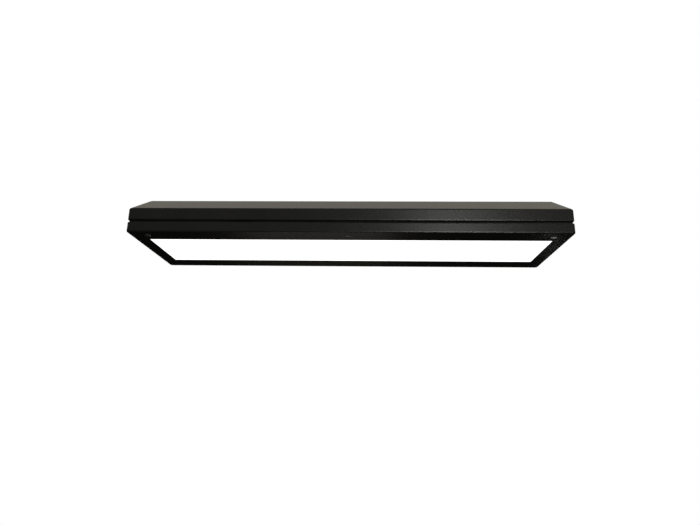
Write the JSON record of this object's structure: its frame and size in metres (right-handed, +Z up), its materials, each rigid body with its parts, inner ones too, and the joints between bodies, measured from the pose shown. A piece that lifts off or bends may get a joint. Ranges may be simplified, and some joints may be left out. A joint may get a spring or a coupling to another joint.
{
  "type": "led strip batten",
  "caption": "Suspended rectangular LED batten with a black housing, sloping shoulders, a shadow groove and a hinged, latched door frame round a flush opal diffuser.",
  "frame": {"origin": "centre of the hanging rail's flat top face", "axes": "+X along the batten to its right end seen from the front, -Y the front, +Z up"},
  "size_m": [1.2, 0.3582, 0.1333],
  "materials": {
    "black_paint": "fine textured matt black powder coat",
    "white_paint": "gloss white reflector paint",
    "zinc_steel": "bright zinc plate",
    "chrome": "polished chrome plate",
    "brass": "bright",
    "black_plastic": "fine spark texture",
    "grey_plastic": "moulded",
    "foam_rubber": "closed-cell foam",
    "opal_acrylic": "satin opal, lit from behind",
    "board_white": "white solder mask",
    "driver_case": "smooth moulded case",
    "cable_grey": "smooth sheath",
    "cable_red": "smooth sheath",
    "cable_green": "smooth sheath, green with a yellow stripe"
  },
  "bodies": {
    "housing": {"driver_feed_left": "cable_grey", "driver_feed_right": "cable_grey", "driver_lead_left": "cable_red", "driver_lead_right": "cable_red", "driver_screw_1": "zinc_steel", "driver_screw_2": "zinc_steel", "driver_screw_3": "zinc_steel", "driver_screw_4": "zinc_steel", "earth_screw_1": "zinc_steel", "earth_wire": "cable_green", "gear_tray": "white_paint", "hanging_rail": "zinc_steel", "hinge_body_leaf_left": "black_paint", "hinge_body_leaf_right": "black_paint", "hinge_pin_left": "zinc_steel", "hinge_pin_right": "zinc_steel", "housing_shell": "black_paint", "inlet_cable": "cable_grey", "inlet_pin_earth": "brass", "inlet_pin_live": "brass", "inlet_pin_neutral": "brass", "keeper_centre": "zinc_steel", "keeper_left": "zinc_steel", "keeper_right": "zinc_steel", "led_driver_left": "driver_case", "led_driver_right": "driver_case", "led_strip_1": "board_white", "led_strip_2": "board_white", "led_strip_3": "board_white", "led_strip_4": "board_white", "power_inlet": "black_plastic", "rail_screw_1": "zinc_steel", "rail_screw_2": "zinc_steel", "rail_screw_3": "zinc_steel", "rail_screw_4": "zinc_steel", "safety_eye": "zinc_steel", "terminal_block": "grey_plastic", "tray_screw_1": "zinc_steel", "tray_screw_2": "zinc_steel", "tray_screw_3": "zinc_steel", "tray_screw_4": "zinc_steel"},
    "door": {"diffuser": "opal_acrylic", "diffuser_retainer_front": "zinc_steel", "diffuser_retainer_left": "zinc_steel", "diffuser_retainer_rear": "zinc_steel", "diffuser_retainer_right": "zinc_steel", "door_frame": "black_paint", "door_gasket": "foam_rubber", "hinge_door_leaf_left": "black_paint", "hinge_door_leaf_right": "black_paint", "latch_bush_centre": "chrome", "latch_bush_left": "chrome", "latch_bush_right": "chrome"},
    "latch_left": {"latch_pawl_left": "zinc_steel", "latch_stem_left": "chrome"},
    "latch_centre": {"latch_pawl_centre": "zinc_steel", "latch_stem_centre": "chrome"},
    "latch_right": {"latch_pawl_right": "zinc_steel", "latch_stem_right": "chrome"}
  },
  "joints": [
    {"name": "door_hinge", "type": "hinge", "parent": "housing", "child": "door", "pos_m": [0, 0.1793, -0.0998], "axis": [1, 0, 0], "range_deg": [0, 90]},
    {"name": "latch_turn_left", "type": "hinge", "parent": "door", "child": "latch_left", "pos_m": [-0.553, -0.141, -0.1313], "axis": [0, 0, -1], "range_deg": [0, 90]},
    {"name": "latch_turn_centre", "type": "hinge", "parent": "door", "child": "latch_centre", "pos_m": [0, -0.141, -0.1313], "axis": [0, 0, -1], "range_deg": [0, 90]},
    {"name": "latch_turn_right", "type": "hinge", "parent": "door", "child": "latch_right", "pos_m": [0.553, -0.141, -0.1313], "axis": [0, 0, -1], "range_deg": [0, 90]}
  ]
}
